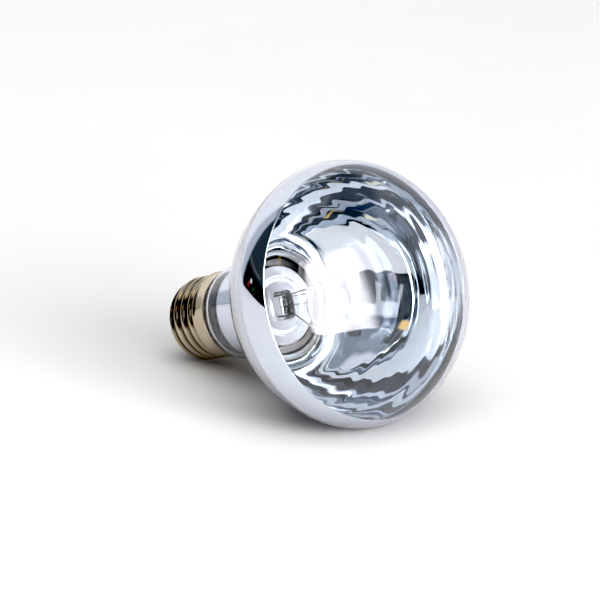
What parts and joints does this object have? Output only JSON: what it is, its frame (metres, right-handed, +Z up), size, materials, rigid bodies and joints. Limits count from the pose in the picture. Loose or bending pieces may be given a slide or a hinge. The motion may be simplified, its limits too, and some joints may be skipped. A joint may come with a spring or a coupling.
{
  "type": "neodymium reflector bulb",
  "caption": "Incandescent reflector bulb of faintly violet glass, mirrored bowl with a clear domed front, filament mount inside and a screw cap with a centre contact.",
  "frame": {"origin": "bottom centre of the bounding box, on the surface that the bulb lies on", "axes": "+Z up from that surface, +X from the cap towards the domed front in plan, the lamp's axis in the XZ plane and leaning up towards the front"},
  "size_m": [0.1066, 0.08, 0.0769],
  "materials": {
    "bulb_glass": "clear gloss with a faint blue-violet tint",
    "mirror_film": "bright vapour-coated aluminium",
    "stem_glass": "clear gloss",
    "shield_metal": "satin pressed sheet",
    "wire": "drawn nickel wire",
    "filament": "dull grey tungsten coil",
    "support_wire": "drawn molybdenum wire",
    "cap_metal": "bright rolled sheet, warm plated brass",
    "insulator": "black moulded glass, gloss",
    "contact_metal": "bright brass",
    "solder": "dull grey tin solder",
    "cement": "matt baked cement"
  },
  "bodies": {
    "root": {"glass_bulb": "bulb_glass", "mirror_film": "mirror_film", "glass_stem": "stem_glass", "heat_shield": "shield_metal", "lead_wire_centre": "wire", "lead_wire_side": "wire", "filament": "filament", "support_wire_1": "support_wire", "support_wire_2": "support_wire", "cap_shell": "cap_metal", "cap_insulator": "insulator", "centre_contact": "contact_metal", "contact_solder": "solder", "capping_cement": "cement", "rim_solder": "solder"}
  },
  "joints": []
}
